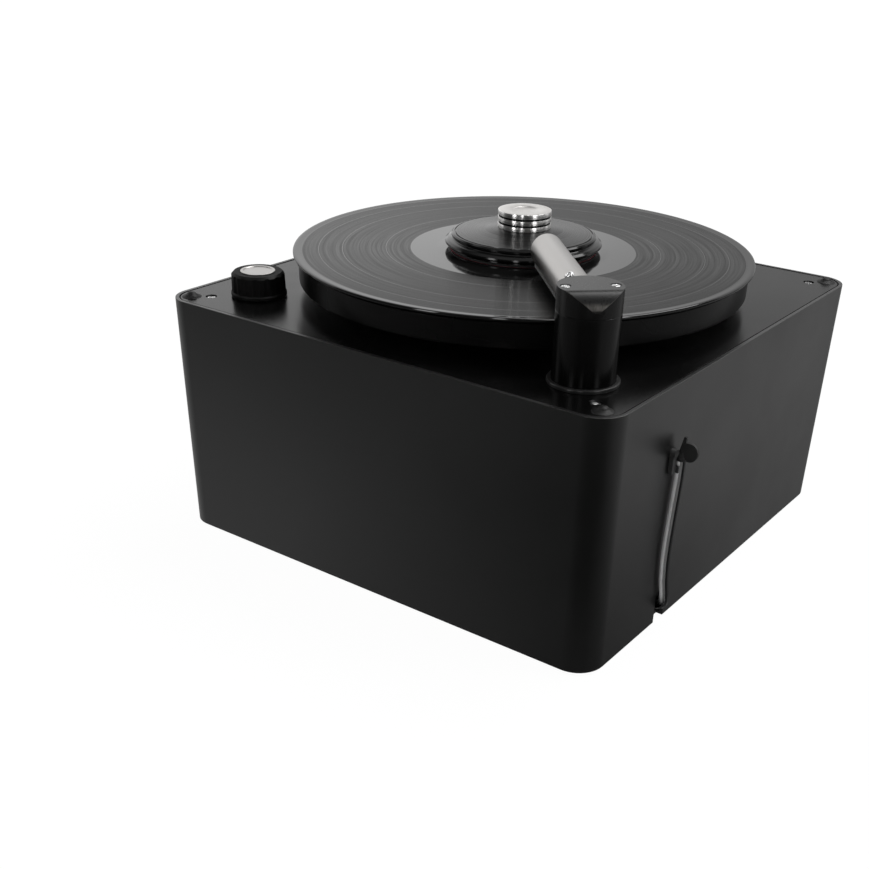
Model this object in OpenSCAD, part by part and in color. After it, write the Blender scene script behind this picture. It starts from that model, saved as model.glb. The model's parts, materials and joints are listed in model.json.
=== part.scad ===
// Record cleaning machine: a square black casing with a motor driven platter, a record held by a screw
// clamp, a swinging suction arm, a waste tank with a side drain, and a vacuum motor inside.
// Origin: centre of the footprint on the surface that the feet stand on. +X right, +Y back, +Z up.

/* [Casing] */
// Outside width of the casing, left to right
casing_w = 333; // [328:1:360]
// Outside depth of the casing, front to back
casing_d = 332; // [328:1:360]
// Height of the casing's top rim above the surface
top_z = 160; // [156:1:180]
// Gap under the casing that the feet leave
foot_gap = 1.5; // [1:0.5:4]
// Thickness of the wrapped casing wall
wall_t = 2.5; // [2:0.5:3]
// Outside radius of the casing's upright corners
corner_r = 18; // [14:1:24]
// Gap between the deck's edge and the casing wall
deck_gap = 0.8; // [0.5:0.1:1.2]
// Thickness of the deck plate
deck_t = 3; // [3:0.5:4]
// Depth of the deck's face below the casing's rim
deck_drop = 0.3; // [0:0.1:1]

/* [Platter and record] */
// Diameter of the platter
platter_d = 295; // [280:1:298]
// Height of the platter's rim
platter_h = 15.3; // [12:0.1:18]
// Clear height between the deck and the platter's rim
platter_lift = 8.5; // [7:0.5:12]
// Thickness of the mat on the platter
mat_t = 1.2; // [0.8:0.1:2]
// Diameter of the record
record_d = 301.6; // [296:0.2:302]
// Thickness of the record at its label
record_t = 2.0; // [1.6:0.1:2.4]
// Diameter of the record's label
label_d = 97; // [96:1:104]
// Diameter of the spindle's pin in the record's centre hole
pin_d = 7.1; // [7:0.05:7.2]

/* [Clamp] */
// Diameter over the clamp's flared rim
clamp_d = 103.2; // [98:0.2:106]
// Diameter of the clamp's screw knob
nut_d = 34.8; // [32:0.2:38]
// Height of the clamp's screw knob
nut_h = 10.7; // [9:0.1:13]
// Number of grooves round the screw knob
nut_grooves = 2; // [1:1:3]

/* [Suction arm] */
// Diameter of the arm's upright post
post_d = 36; // [34:0.5:38]
// Distance of the post's axis from the casing's sides
post_inset = 43.3; // [42:0.1:46]
// Outside diameter of the suction tube
tube_d = 20.2; // [18:0.1:20.5]
// Wall thickness of the suction tube
tube_wall = 1.75; // [1.25:0.25:2.25]
// Gap between the clamp's rim and the tip of the suction tube, seen from above
tip_clear = 3.2; // [2.4:0.2:8]
// Height of the velvet above the record while the arm waits
velvet_gap = 0.7; // [0.5:0.1:1.2]
// Height of the head above the suction tube's axis
head_h = 13; // [11.4:0.1:14]
// Radius of the head's rounded front
head_round = 10.1; // [8:0.1:11]
// Angle by which the waiting arm points past the spindle
arm_aside = 1.5; // [0:0.1:4]

/* [Control knob] */
// Diameter of the control knob's skirt
knob_d = 36; // [32:0.5:38]
// Height of the control knob
knob_h = 14.5; // [12:0.5:18]
// Number of finger flutes round the control knob
knob_flutes = 14; // [8:1:20]

/* [Drain] */
// Outside diameter of the drain tube
drain_d = 6; // [5:0.5:7]
// Width of the drain notch in the casing's lower edge
notch_w = 12; // [10:0.5:14]
// Height of the drain notch above the surface
notch_h = 24; // [20:0.5:28]
// Outside diameter of the air hose between the tank and the vacuum motor
hose_d = 22; // [18:1:22]

/* [Hidden] */
$fn = 96;
eps = 0.1;
press = 0.02;
run = 0.06;

// Heights that the pieces share
rim_under = foot_gap;
flange_t = 2;
base_z = rim_under + flange_t;
base_t = 2.5;
floor_z = base_z + base_t;
deck_z = top_z - deck_drop;
deck_under = deck_z - deck_t;
platter_z = deck_z + platter_lift;
platter_top = platter_z + platter_h;
record_z = platter_top + mat_t;
label_z = record_z + record_t;
bead_rise = 0.1;
record_top = label_z + bead_rise;

// Places on the deck
post_x = casing_w / 2 - post_inset;
post_y = -(casing_d / 2 - post_inset);
knob_x = -(casing_w / 2 - post_inset);
knob_y = -(casing_d / 2 - post_inset);
stand_x = casing_w / 2 - 22;
stand_y = casing_d / 2 - 21;
pad_inset = 12.7;
pad_r = 6.3;

// Shank radius of the screws in the columns
screw_r = 2;

// Platter drive
bearing_r = 14;
bearing_flange_r = 34;
bearing_flange_t = 4;
bearing_foot = 138;
motor_pitch_r = 28;
motor_stand_r = 4;
spindle_r = 5;
pin_r = pin_d / 2;
gear_r = 35;
gear_top = 112;
gear_h = 30;
can_r = 26;
can_h = 40;
gear_shaft_r = 4;
coupling_r = 9;
thrust_t = 1;
hub_z = deck_z + 4.3;
hub_r = 20;
spindle_step = hub_z + 8;
pin_top = label_z + 20.3;

// Clamp heights above the label
seal_t = 1.4;
neck_h = 13.8;
stem_r = 8;
clip_z = 2.2;
clip_t = 1;

// Suction arm
post_r = post_d / 2;
tube_r = tube_d / 2;
velvet_t = 1.75;
arm_z = record_top + velvet_gap + velvet_t + tube_r;
arm_angle = atan2(-post_y, -post_x) - arm_aside;
post_reach = norm([post_x, post_y]);
plug_t = 0.6;
tip_from_spindle = clamp_d / 2 + tip_clear;
tube_tip = post_reach * cos(arm_aside) - tip_from_spindle - plug_t;
tube_back = 5.5;
sleeve_r = post_r + 4;
sleeve_l = 56.7;
sleeve_z = deck_under - sleeve_l;
sleeve_floor_t = 4;
sleeve_flange_r = post_r + 6.4;
collar_h = 2.2;
collar_r = post_r + 2.5;
pipe_r = 6;
pipe_wall = 1.4;
post_foot = sleeve_z + 19;
washer_t = 2;
spring_wire_r = 0.9;
spring_r = 12.5;
spring_curls = 4;
screw_y = post_r - 4.4;

// Waste tank
tank_x0 = 40;
tank_x1 = post_x + 14;
tank_y0 = post_y - 14;
tank_y1 = -20;
tank_top = sleeve_z - 8;
tank_wall = 3;
tank_r = 8;
lid_t = 3;
port_y = -60;
port_z = tank_top - 15;
port_out = 14;
drain_y = -79.5;
outlet_z = 14;
outlet_out = 8;
strap_x = 70;
strap_w = 12;
strap_t = 1.5;

// Vacuum motor
vac_y = 70;
vac_base_r = 60;
vac_base_h = 24;
vac_mouth_z = floor_z + 12;
fan_r = 62;
tie_rod_r = 3;
tie_pitch = max(fan_r, vac_base_r) + 4.5;
tie_pad_r = 5;
tie_angles = [20, 160, 235];
vac_wall_gap = 7.5;
vac_x = wall_t + vac_wall_gap + tie_pitch + tie_pad_r - casing_w / 2;
fan_z = floor_z + vac_base_h;
fan_h = 42;
fan_wall = 3;
fan_top = fan_z + fan_h;
vac_can_r = 42;
vac_can_h = 58;
vac_shaft_r = 4;
duct_w = 50;
duct_h = 24;
duct_z = fan_z + 10;
duct_y = vac_y + 68;

// Rear panel
inlet_x = 105;
rocker_x = 62;
rear_z = 35;
rocker_pivot = -3.2;
rocker_tilt = 6;
rear_y = casing_d / 2;
pin_places = [[-7, -2], [0, 2], [7, -2]];

// Drain fittings on the right wall
wall_x = casing_w / 2;
drain_r = drain_d / 2;
clip_y = -84;
stud_y = clip_y - 6.6;
stud_rise = 5.5;
drain_x = wall_x + drain_r + 0.8;
tube_top_z = top_z - 47;

// Colours
black = [0.07, 0.07, 0.075];
satin = [0.11, 0.11, 0.115];
silver = [0.80, 0.80, 0.79];
steel = [0.62, 0.63, 0.65];
rubber = [0.05, 0.05, 0.05];
vinyl = [0.10, 0.10, 0.11];

// A rectangle with round corners, as an outline
module round_rect(w, d, r) {
    square([w - 2 * r, d], center = true);
    square([w, d - 2 * r], center = true);
    for (x = [-1, 1], y = [-1, 1])
        translate([x * (w / 2 - r), y * (d / 2 - r)])
            circle(r);
}

// A plate with round corners
module round_plate(w, d, r, h) {
    linear_extrude(h)
        round_rect(w, d, r);
}

// Repeats the children at four corners
module four(x, y) {
    for (i = [-1, 1], j = [-1, 1])
        translate([i * x, j * y, 0])
            children();
}

// Repeats the children round a circle
module ring_of(n, r, start = 0) {
    for (i = [0 : n - 1])
        rotate([0, 0, start + i * 360 / n])
            translate([r, 0, 0])
                children();
}

// A tube standing on its lower face
module pipe(r, bore, h) {
    difference() {
        cylinder(r = r, h = h);
        translate([0, 0, -eps])
            cylinder(r = bore, h = h + 2 * eps);
    }
}

// A screw with a domed head and a hexagon socket, its seat at height 0
module screw(head_r, head_t, shank_r, length) {
    socket_r = head_r * 0.5;
    difference() {
        union() {
            cylinder(r = head_r, h = head_t * 0.55);
            translate([0, 0, head_t * 0.55])
                cylinder(r1 = head_r, r2 = head_r * 0.78, h = head_t * 0.45);
            translate([0, 0, -length])
                cylinder(r = shank_r, h = length + eps);
        }
        translate([0, 0, head_t * 0.35])
            cylinder(r = socket_r, h = head_t, $fn = 6);
    }
}

// Smooth path through chosen points: straight first and last spans, between them a Catmull-Rom curve
// with n steps a span
function spline_point(a, b, c, d, t) =
    0.5 * ((2 * b) + (c - a) * t + (2 * a - 5 * b + 4 * c - d) * t * t
    + (3 * b - a - 3 * c + d) * t * t * t);
function smooth_path(p, n) =
    let (last = len(p) - 1)
    concat([p[0]], [for (i = [1 : last - 2], k = [0 : n - 1])
        spline_point(p[i - 1], p[i], p[i + 1], p[i + 2], k / n)], [p[last - 1], p[last]]);
function unit(v) = v / norm(v);
function path_dir(p, i) = unit(p[min(i + 1, len(p) - 1)] - p[max(i - 1, 0)]);
function side_of(d, s) = unit(s - (s * d) * d);
function carried_side(p, i, s) = i == 0 ? side_of(path_dir(p, 0), s)
    : side_of(path_dir(p, i), carried_side(p, i - 1, s));

// A round cord or tube as one swept skin along a path
module swept(p, r, sides, start_side) {
    rings = [for (i = [0 : len(p) - 1])
        let (d = path_dir(p, i), s = carried_side(p, i, start_side), u = cross(d, s))
        [for (k = [0 : sides - 1])
            p[i] + r * (cos(k * 360 / sides) * s + sin(k * 360 / sides) * u)]];
    points = [for (ring = rings) each ring];
    n = len(p);
    skin = [for (i = [0 : n - 2], k = [0 : sides - 1])
        let (a = i * sides + k, b = i * sides + (k + 1) % sides)
        each [[a, b, b + sides], [a, b + sides, a + sides]]];
    start_cap = [for (k = [1 : sides - 2]) [0, k + 1, k]];
    end = (n - 1) * sides;
    end_cap = [for (k = [1 : sides - 2]) [end, end + k, end + k + 1]];
    polyhedron(points, concat(skin, start_cap, end_cap), convexity = 8);
}

// Places the children in the arm's frame: +X from the post's axis towards the spindle
module on_arm() {
    translate([post_x, post_y, 0])
        rotate([0, 0, arm_angle])
            children();
}

// Places the children on the deck's axis of the control knob
module on_knob() {
    translate([knob_x, knob_y, 0])
        children();
}

// Places the children on the vacuum motor's axis
module on_vac() {
    translate([vac_x, vac_y, 0])
        children();
}

// Cylinder along +X
module rod_x(r, length) {
    rotate([0, 90, 0])
        cylinder(r = r, h = length);
}

// Cylinder along +Y
module rod_y(r, length) {
    rotate([-90, 0, 0])
        cylinder(r = r, h = length);
}

// The wrapped casing: four walls, a ledge for the deck, a turned-in lower flange, vents and cut-outs
module casing() {
    inner_w = casing_w - 2 * wall_t;
    inner_d = casing_d - 2 * wall_t;
    inner_r = corner_r - wall_t;
    ledge = 8;
    flange = 10;
    slot_w = 3;
    color(black)
        difference() {
            translate([0, 0, rim_under])
                round_plate(casing_w, casing_d, corner_r, top_z - rim_under);
            translate([0, 0, rim_under - eps])
                round_plate(inner_w - 2 * flange, inner_d - 2 * flange, inner_r - 4, top_z);
            translate([0, 0, base_z])
                round_plate(inner_w, inner_d, inner_r, deck_under - flange_t - base_z);
            translate([0, 0, deck_under - flange_t - eps])
                round_plate(inner_w - 2 * ledge, inner_d - 2 * ledge, inner_r - 4, 20);
            translate([0, 0, deck_under])
                round_plate(inner_w, inner_d, inner_r, 20);
            // drain notch with a round top
            translate([wall_x - 14, drain_y - notch_w / 2, 0])
                cube([20, notch_w, notch_h - notch_w / 2]);
            translate([wall_x - 14, drain_y, notch_h - notch_w / 2])
                rod_x(notch_w / 2, 20);
            // hole for the drain clip's stud
            translate([wall_x - 5, stud_y, tube_top_z + stud_rise])
                rod_x(2.05, 10);
            // exhaust slots behind the duct
            for (i = [-4 : 4])
                translate([vac_x + i * 5.4 - slot_w / 2, rear_y - 5, duct_z + 2])
                    cube([slot_w, 10, duct_h - 4]);
            // cooling slots for the motors
            for (i = [-5 : 5])
                translate([i * 7 - slot_w / 2, rear_y - 5, 100])
                    cube([slot_w, 10, 26]);
            // mains inlet and rocker switch openings
            translate([inlet_x - 13.6, rear_y - 5, rear_z - 10.1])
                cube([27.2, 10, 20.2]);
            translate([rocker_x - 9.6, rear_y - 5, rear_z - 6.6])
                cube([19.2, 10, 13.2]);
        }
}

// Deck plate inside the casing's rim, with every hole that a piece passes through
module deck() {
    w = casing_w - 2 * (wall_t + deck_gap);
    d = casing_d - 2 * (wall_t + deck_gap);
    color(satin)
        difference() {
            translate([0, 0, deck_under])
                round_plate(w, d, corner_r - wall_t - deck_gap, deck_t);
            translate([0, 0, deck_under - eps]) {
                cylinder(r = bearing_r + press, h = deck_t + 2 * eps);
                ring_of(4, motor_pitch_r, 45)
                    cylinder(r = 2.2, h = deck_t + 2 * eps);
                four(stand_x, stand_y)
                    cylinder(r = 2.2, h = deck_t + 2 * eps);
                on_arm()
                    cylinder(r = post_r + 2 + press, h = deck_t + 2 * eps);
                on_knob()
                    cylinder(r = 4.9 + press, h = deck_t + 2 * eps);
            }
            translate([0, 0, deck_z - 2])
                four(stand_x, stand_y)
                    cylinder(r = 3.6, h = 2 + eps);
        }
}

// Base plate that closes the casing from below and carries the tank and the vacuum motor
module base_plate() {
    w = casing_w - 2 * wall_t - 1;
    d = casing_d - 2 * wall_t - 1;
    color(satin)
        difference() {
            translate([0, 0, base_z])
                round_plate(w, d, corner_r - wall_t - 0.5, base_t);
            translate([0, 0, base_z - eps])
                four(stand_x, stand_y) {
                    cylinder(r = 2.2, h = base_t + 2 * eps);
                    cylinder(r = 4.1, h = 1.5 + eps);
                }
            // air slots under the motors
            for (i = [-4 : 4])
                translate([i * 7 - 1.5, 110, base_z - eps])
                    cube([3, 34, base_t + 2 * eps]);
        }
}

// Four rubber feet with a rounded lower edge
module feet() {
    foot_r = 11;
    color(rubber)
        four(casing_w / 2 - 36, casing_d / 2 - 36) {
            cylinder(r1 = foot_r - 0.8, r2 = foot_r, h = 0.8);
            translate([0, 0, 0.8])
                cylinder(r = foot_r, h = base_z - 0.8);
        }
}

// Four columns between the base plate and the deck
module standoffs() {
    color(steel)
        four(stand_x, stand_y)
            difference() {
                translate([0, 0, floor_z])
                    cylinder(r = 5, h = deck_under - floor_z);
                translate([0, 0, floor_z - eps])
                    cylinder(r = 2, h = 12);
                translate([0, 0, deck_under - 12])
                    cylinder(r = 2, h = 12 + eps);
            }
}

// Twelve equal screws: four hold the deck, four hang the bearing under it, four hold the base plate
module button_screws() {
    head_r = 3.3;
    head_t = 1.3;
    length = 10;
    color(silver) {
        translate([0, 0, deck_z - 2])
            four(stand_x, stand_y)
                screw(head_r, head_t, screw_r - press, length);
        translate([0, 0, deck_z])
            ring_of(4, motor_pitch_r, 45)
                screw(head_r, head_t, screw_r - press, length);
        translate([0, 0, base_z + 1.5])
            four(stand_x, stand_y)
                mirror([0, 0, 1])
                    screw(head_r, head_t, screw_r - press, length);
    }
}

// Four small domed rubber pads in the deck's corners
module corner_pads() {
    color(black)
        translate([0, 0, deck_z])
            four(casing_w / 2 - pad_inset, casing_d / 2 - pad_inset)
                rotate_extrude()
                    polygon([[0, 0], [pad_r, 0], [pad_r - 0.3, 0.3], [pad_r - 1.6, 0.7],
                        [3.4, 1.5], [2.7, 2.3], [1.9, 2.8], [0.9, 3], [0, 3]]);
}

// Flanged bearing for the spindle, hung under the deck
module bearing_housing() {
    color(steel)
        difference() {
            union() {
                translate([0, 0, deck_under - bearing_flange_t])
                    cylinder(r = bearing_flange_r, h = bearing_flange_t);
                translate([0, 0, bearing_foot])
                    cylinder(r = bearing_r, h = hub_z - thrust_t - bearing_foot);
            }
            translate([0, 0, bearing_foot - 1])
                cylinder(r = spindle_r + run, h = hub_z - bearing_foot + 2);
            translate([0, 0, deck_under - bearing_flange_t - eps])
                ring_of(4, motor_pitch_r, 45)
                    cylinder(r = 2.2, h = bearing_flange_t + 2 * eps);
        }
}

// Slippery disc between the bearing and the platter's hub
module thrust_disc() {
    color([0.85, 0.84, 0.78])
        translate([0, 0, hub_z - thrust_t])
            pipe(12, spindle_r + run, thrust_t);
}

// Four columns that hang the gear motor under the bearing
module motor_standoffs() {
    stand_top = deck_under - bearing_flange_t;
    color(steel)
        ring_of(4, motor_pitch_r, 45)
            difference() {
                translate([0, 0, gear_top])
                    cylinder(r = motor_stand_r, h = stand_top - gear_top);
                translate([0, 0, stand_top - 12])
                    cylinder(r = 2, h = 12 + eps);
            }
}

// Gear case of the platter motor
module gear_case() {
    color(steel)
        translate([0, 0, gear_top - gear_h])
            difference() {
                union() {
                    cylinder(r = gear_r, h = gear_h);
                    cylinder(r = gear_r + 1.2, h = 2);
                    translate([0, 0, gear_h - 2])
                        cylinder(r = gear_r + 1.2, h = 2);
                }
                translate([0, 0, gear_h - 14])
                    cylinder(r = gear_shaft_r + run, h = 14 + eps);
            }
}

// Motor can under the gear case, with cooling slots
module motor_can() {
    color(black)
        translate([0, 0, gear_top - gear_h - can_h])
            difference() {
                union() {
                    cylinder(r = can_r, h = can_h);
                    translate([0, 0, -3])
                        cylinder(r = 8, h = 3 + eps);
                }
                ring_of(8, can_r)
                    translate([-2, -2, 8])
                        cube([5, 4, can_h - 16]);
            }
}

// Output shaft of the gear case
module gear_shaft() {
    color(silver)
        translate([0, 0, gear_top - 13])
            cylinder(r = gear_shaft_r, h = 26);
}

// Coupling sleeve between the gear shaft and the spindle
module coupling() {
    color(steel)
        difference() {
            translate([0, 0, gear_top + 3])
                cylinder(r = coupling_r, h = 20);
            translate([0, 0, gear_top + 2])
                cylinder(r = gear_shaft_r + press, h = 11.2);
            translate([0, 0, gear_top + 13.1])
                cylinder(r = spindle_r + press, h = 12);
            for (z = [7.5, 19])
                translate([0, 0, gear_top + z])
                    rod_x(1.5, 20);
        }
}

// Spindle: thick in the bearing and the hub, thin through the record, with a thread for the clamp
module spindle() {
    groove = 0.3;
    color(silver)
        difference() {
            union() {
                translate([0, 0, gear_top + 13.2])
                    cylinder(r = spindle_r, h = spindle_step - gear_top - 13.2);
                translate([0, 0, spindle_step - eps])
                    cylinder(r = pin_r, h = pin_top - spindle_step - 1 + eps);
                translate([0, 0, pin_top - 1])
                    cylinder(r1 = pin_r, r2 = pin_r - 0.9, h = 1);
            }
            for (i = [0 : 11])
                translate([0, 0, label_z + 4 + i * 1.25])
                    difference() {
                        cylinder(r = pin_r + 1, h = 0.6);
                        translate([0, 0, -eps])
                            cylinder(r = pin_r - groove, h = 1);
                    }
        }
}

// Platter: a web with a hub, a deep rim and eight ribs underneath
module platter() {
    r = platter_d / 2;
    web_t = 5;
    rim_t = 8;
    chamfer = 0.6;
    color(black)
        difference() {
            union() {
                rotate_extrude($fn = 180)
                    polygon([[0, platter_z + platter_h - web_t], [r - rim_t, platter_z + platter_h - web_t],
                        [r - rim_t, platter_z], [r - chamfer, platter_z], [r, platter_z + chamfer],
                        [r, platter_top - chamfer], [r - chamfer, platter_top], [0, platter_top]]);
                translate([0, 0, hub_z])
                    cylinder(r = hub_r, h = platter_top - hub_z);
                for (i = [0 : 7])
                    rotate([0, 0, i * 45])
                        translate([hub_r - 1, -2, platter_z + 2])
                            cube([r - rim_t - hub_r + 2, 4, platter_h - web_t - 1]);
            }
            translate([0, 0, hub_z - eps])
                cylinder(r = spindle_r + press, h = spindle_step - hub_z + eps);
            translate([0, 0, hub_z])
                cylinder(r = pin_r + press, h = platter_top - hub_z + eps);
        }
}

// Soft mat between the platter and the record
module platter_mat() {
    color([0.09, 0.09, 0.09])
        translate([0, 0, platter_top])
            pipe(platter_d / 2 - 1.5, pin_r + 0.4, mat_t, $fn = 180);
}

// Twelve inch record with a raised rim, track separators and a recess for each label
module record() {
    r = record_d / 2;
    groove_out = r - 4.6;
    groove_in = 74;
    face = record_t - 0.25;
    label_sink = 0.12;
    label_r = label_d / 2;
    color(vinyl)
        translate([0, 0, record_z])
            difference() {
                rotate_extrude($fn = 240)
                    polygon([[pin_r + 0.1, 0], [label_r + 1, 0], [label_r + 2, 0.2], [groove_out, 0.2],
                        [groove_out + 1.2, 0], [r - 0.8, 0], [r, 0.7], [r, record_t - 0.6],
                        [r - 0.6, record_t + bead_rise], [groove_out + 1.6, record_t + bead_rise],
                        [groove_out + 0.4, face], [groove_in, face], [groove_in - 0.6, face + 0.08],
                        [label_r + 2, face + 0.08], [label_r + 1, record_t], [pin_r + 0.1, record_t]]);
                translate([0, 0, record_t - label_sink])
                    cylinder(r = label_r, h = 1);
                translate([0, 0, label_sink - 1])
                    cylinder(r = label_r, h = 1);
                // wide separator bands between the tracks
                for (f = [0.60, 0.785, 0.885])
                    translate([0, 0, face - 0.05])
                        difference() {
                            cylinder(r = f * r + 0.5, h = 1, $fn = 240);
                            translate([0, 0, -eps])
                                cylinder(r = f * r - 0.5, h = 2, $fn = 240);
                        }
            }
}

// Plain paper label on both faces of the record
module record_label() {
    paper = 0.12;
    color([0.42, 0.05, 0.06])
        for (z = [0, record_t - paper])
            translate([0, 0, record_z + z])
                pipe(label_d / 2 - press, pin_r + 0.1, paper);
}

// Clamp: a flared disc that presses the record's label down, hollow round the screw knob's stem
module clamp_body() {
    r = clamp_d / 2;
    neck_r = nut_d / 2 - 0.3;
    color(satin)
        translate([0, 0, label_z])
            difference() {
                rotate_extrude($fn = 180)
                    polygon([[stem_r + run, seal_t], [r - 3.9, seal_t], [r - 3.9, 2.2], [r - 2.6, 2.8],
                        [r - 0.7, 3.3], [r, 4.1], [r - 0.3, 5.1], [r - 1.9, 6.2], [r - 3.9, 6.9],
                        [r - 4.5, 7.4], [r - 4.2, 8.1], [r - 4.3, 9.2], [r - 5.2, 10], [r - 6.1, 10.2],
                        [r - 6.3, 9.6], [r - 6.8, 9.6], [r - 7, 10.3], [r - 12, 10.8], [r - 20, 11.5],
                        [r - 26, 12.2], [r - 30, 13], [neck_r + 1, 13.6], [neck_r, neck_h],
                        [stem_r + run, neck_h]]);
                translate([0, 0, seal_t - eps])
                    cylinder(r = 11.2, h = clip_z + clip_t - seal_t + 2 * eps);
            }
}

// Soft ring under the clamp that keeps the label dry
module clamp_seal() {
    outer_r = clamp_d / 2 - 4;
    width = 11.6;
    color(rubber)
        translate([0, 0, label_z])
            pipe(outer_r, outer_r - width, seal_t, $fn = 180);
}

// Grooved screw knob with a dished top and a stem that threads onto the spindle
module clamp_nut() {
    r = nut_d / 2;
    groove_w = 1.1;
    band = (nut_h - nut_grooves * groove_w) / (nut_grooves + 1);
    dish_r = r * 0.49;
    dish_t = 0.7;
    chamfer = 0.4;
    bore_h = 22;
    color(silver)
        translate([0, 0, label_z])
            difference() {
                union() {
                    for (i = [0 : nut_grooves])
                        translate([0, 0, neck_h + i * (band + groove_w)]) {
                            cylinder(r1 = r - chamfer, r2 = r, h = chamfer);
                            translate([0, 0, chamfer])
                                cylinder(r = r, h = band - 2 * chamfer);
                            translate([0, 0, band - chamfer])
                                cylinder(r1 = r, r2 = r - chamfer, h = chamfer);
                        }
                    translate([0, 0, neck_h])
                        cylinder(r = r - 1.2, h = nut_h - 0.5);
                    translate([0, 0, clip_z - 0.6])
                        cylinder(r = stem_r, h = neck_h - clip_z + 1);
                }
                translate([0, 0, clip_z])
                    difference() {
                        cylinder(r = stem_r + 1, h = clip_t);
                        translate([0, 0, -eps])
                            cylinder(r = stem_r - 0.8, h = clip_t + 2 * eps);
                    }
                cylinder(r = pin_r + run, h = bore_h);
                translate([0, 0, neck_h + nut_h - dish_t])
                    cylinder(r1 = dish_r * 0.4, r2 = dish_r, h = dish_t + eps);
            }
}

// Spring clip that keeps the screw knob in the clamp
module clamp_clip() {
    color(steel)
        translate([0, 0, label_z + clip_z + 0.05])
            difference() {
                cylinder(r = 10.6, h = clip_t - 0.1);
                translate([0, 0, -eps])
                    cylinder(r = stem_r - 0.75, h = clip_t + 2 * eps);
                translate([0, -2, -eps])
                    cube([20, 4, clip_t + 2 * eps]);
            }
}

// Guide sleeve for the arm's post, hung through the deck, with a floor for the spring
module arm_sleeve() {
    color(satin)
        on_arm()
            difference() {
                union() {
                    translate([0, 0, sleeve_z])
                        cylinder(r = sleeve_r, h = deck_under - sleeve_z);
                    translate([0, 0, deck_under - 3])
                        cylinder(r = sleeve_flange_r, h = 3);
                    translate([0, 0, deck_under - eps])
                        cylinder(r = post_r + 2, h = deck_t + eps);
                }
                translate([0, 0, sleeve_z + sleeve_floor_t])
                    cylinder(r = post_r + run, h = 100);
                translate([0, 0, sleeve_z - eps])
                    cylinder(r = pipe_r + run, h = sleeve_floor_t + 2 * eps);
            }
}

// Thin collar ring round the post on the deck
module arm_collar() {
    color(satin)
        on_arm()
            translate([0, 0, deck_z])
                difference() {
                    union() {
                        cylinder(r = collar_r, h = collar_h - 0.5);
                        translate([0, 0, collar_h - 0.5])
                            cylinder(r1 = collar_r, r2 = collar_r - 0.5, h = 0.5);
                    }
                    translate([0, 0, -eps])
                        cylinder(r = post_r + run, h = collar_h + 2 * eps);
                }
}

// Coil spring that carries the arm, one unbroken wire
module arm_spring() {
    z0 = sleeve_z + sleeve_floor_t + spring_wire_r;
    z1 = post_foot - washer_t - spring_wire_r;
    steps = 8 * spring_curls;
    path = [for (i = [0 : steps])
        [spring_r * cos(i * 45), spring_r * sin(i * 45), z0 + (z1 - z0) * i / steps]];
    least_gap = (z1 - z0) / spring_curls - 2 * spring_wire_r;
    echo(str("least gap between the spring's curls, mm: ", least_gap));
    color(steel)
        on_arm()
            swept(path, spring_wire_r, 6, [0, 0, 1]);
}

// Washer between the spring and the post's foot
module thrust_washer() {
    color(steel)
        on_arm()
            translate([0, 0, post_foot - washer_t])
                pipe(post_r - 0.6, pipe_r + run, washer_t);
}

// Half round seat that the suction tube lies in, and the holes for the two clamp screws
module tube_seat() {
    translate([-tube_back - 0.5, 0, arm_z])
        rod_x(tube_r + press, 60);
}

// Post: slides and turns in the sleeve, with the lower half of the tube's seat in its top
module arm_post() {
    color(satin)
        on_arm()
            difference() {
                union() {
                    translate([0, 0, post_foot])
                        cylinder(r = post_r, h = arm_z - 0.4 - post_foot);
                    translate([0, 0, arm_z - 0.4])
                        cylinder(r1 = post_r, r2 = post_r - 0.4, h = 0.4);
                }
                tube_seat();
                translate([0, 0, post_foot - eps])
                    cylinder(r = pipe_r + press, h = 200);
                for (y = [-1, 1])
                    translate([0, y * screw_y, arm_z - 14])
                        cylinder(r = 1.5, h = 20);
            }
}

// Pipe that leads the fluid from the suction tube down into the tank
module suction_pipe() {
    color(steel)
        on_arm()
            translate([0, 0, tank_top - 8])
                pipe(pipe_r, pipe_r - pipe_wall, arm_z - tube_r + 2.8 - tank_top + 8);
}

// Head: the post's cylinder rounded off at the front, which leaves a pointed facet under its crown
module arm_head() {
    round_x = -(post_r - head_round);
    round_z = arm_z + head_h - head_round;
    color(satin)
        on_arm()
            difference() {
                intersection() {
                    translate([0, 0, arm_z])
                        cylinder(r = post_r, h = head_h);
                    union() {
                        translate([round_x, -30, arm_z])
                            cube([60, 60, head_h]);
                        translate([-30, -30, arm_z])
                            cube([60, 60, head_h - head_round]);
                        translate([round_x, -30, round_z])
                            rod_y(head_round, 60);
                    }
                }
                tube_seat();
                for (y = [-1, 1])
                    translate([0, y * screw_y, 0]) {
                        translate([0, 0, arm_z - eps])
                            cylinder(r = 1.6, h = 20);
                        translate([0, 0, arm_z + head_h - 1.8])
                            cylinder(r = 2.95, h = 3);
                    }
            }
}

// Suction tube with its slot underneath and the hole for the pipe
module arm_tube() {
    color(silver)
        on_arm()
            difference() {
                translate([-tube_back, 0, arm_z])
                    rod_x(tube_r, tube_tip + tube_back);
                translate([-tube_back - 1, 0, arm_z])
                    rod_x(tube_r - tube_wall, tube_tip + tube_back + 2);
                translate([26, -1.5, arm_z - tube_r - 1])
                    cube([tube_tip - 29, 3, tube_r]);
                translate([0, 0, arm_z - 15])
                    cylinder(r = pipe_r + press, h = 15);
                translate([29, 0, arm_z])
                    rotate([-28, 0, 0])
                        cylinder(r = 1.3, h = 20);
            }
}

// Plug that closes the tip of the suction tube
module tube_plug() {
    color(silver)
        on_arm()
            translate([tube_tip, 0, arm_z]) {
                rod_x(tube_r - 0.1, plug_t);
                translate([-5, 0, 0])
                    rod_x(tube_r - tube_wall - press, 5 + eps);
            }
}

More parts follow.
